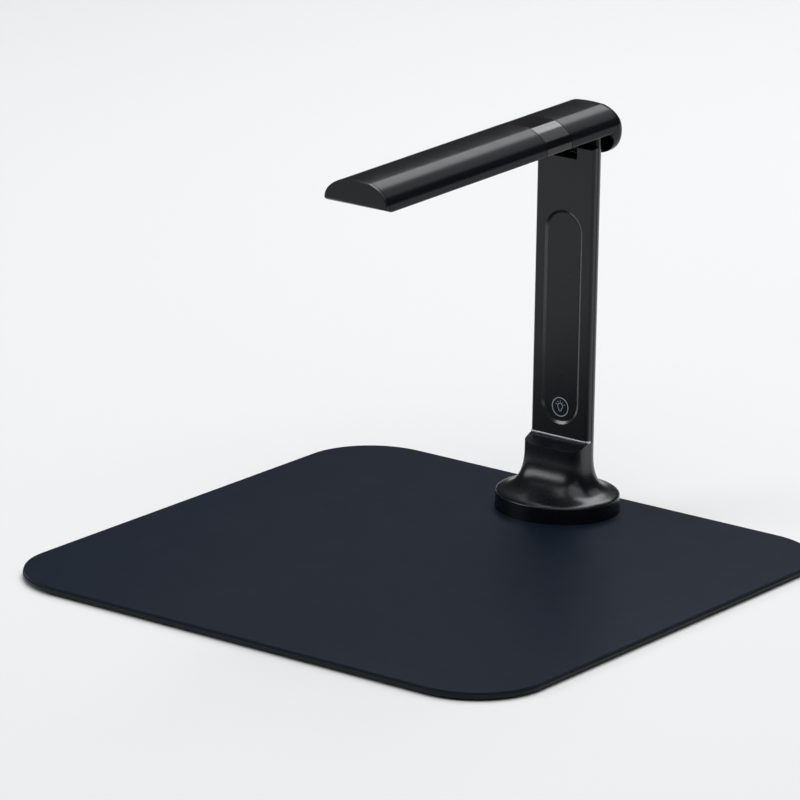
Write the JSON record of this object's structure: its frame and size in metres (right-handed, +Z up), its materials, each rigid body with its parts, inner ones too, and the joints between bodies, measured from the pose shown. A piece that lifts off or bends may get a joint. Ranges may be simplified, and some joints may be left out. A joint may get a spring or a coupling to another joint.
{
  "type": "document camera",
  "caption": "Desk document camera: fold-down camera arm with lamp on a flat column with a touch key, flared foot and a large rounded base board.",
  "frame": {"origin": "middle of the base board, on the plane that the rubber pads stand on", "axes": "+Z up, +Y towards the column's side of the board, the arm reaches towards -Y, +X to the right seen from the arm's tip end"},
  "size_m": [0.372, 0.362, 0.2605],
  "materials": {
    "board": "matte, fine grain",
    "mat": "matte slate grey, fine grain",
    "rubber": "matte",
    "satin": "satin black",
    "panel": "semi-gloss black",
    "gloss": "polished black",
    "bright": "brushed bright trim",
    "steel": "plain rolled",
    "screw": "zinc plated",
    "brass": "plain",
    "cast": "die cast, black coat",
    "circuit": "solder mask",
    "cable": "matte",
    "lamp": "frosted white",
    "glass": "coated, dark"
  },
  "bodies": {
    "base": {"base_board": "board", "board_mat": "mat", "rubber_pad_1": "rubber", "rubber_pad_2": "rubber", "rubber_pad_3": "rubber", "rubber_pad_4": "rubber", "rubber_pad_5": "rubber", "rubber_pad_6": "rubber", "foot_housing": "satin", "foot_bottom_plate": "satin", "ballast_plate": "steel", "main_circuit_board": "circuit", "main_chip": "gloss", "data_socket": "steel", "foot_screw_1": "screw", "foot_screw_2": "screw", "foot_screw_3": "screw", "foot_screw_4": "screw", "column_lip_trim": "bright", "column_front_shell": "satin", "column_rear_shell": "satin", "touch_panel": "panel", "touch_circuit_board": "circuit", "column_spine": "steel", "column_cable": "cable", "shell_screw_lower": "screw", "shell_screw_upper": "screw", "hinge_pin": "steel", "hinge_nut": "screw", "friction_washer_left": "brass", "friction_washer_right": "brass", "disc_spring_left": "steel", "disc_spring_right": "steel"},
    "arm": {"arm_top_shell": "satin", "gloss_band": "gloss", "arm_end_cap": "satin", "arm_rear_hood": "satin", "arm_bottom_cover": "satin", "arm_frame": "cast", "camera_housing": "gloss", "lens_barrel": "gloss", "lens_glass": "glass", "lens_window": "glass", "sensor_circuit_board": "circuit", "lamp_diffuser": "lamp", "lamp_circuit_board": "circuit", "arm_cable": "cable", "cover_screw_1": "screw", "cover_screw_2": "screw", "cover_screw_3": "screw", "cover_screw_4": "screw"}
  },
  "joints": [
    {"name": "arm_fold", "type": "hinge", "parent": "base", "child": "arm", "pos_m": [0, 0.15, 0.2395], "axis": [1, 0, 0], "range_deg": [-1.3, 76.7]}
  ]
}
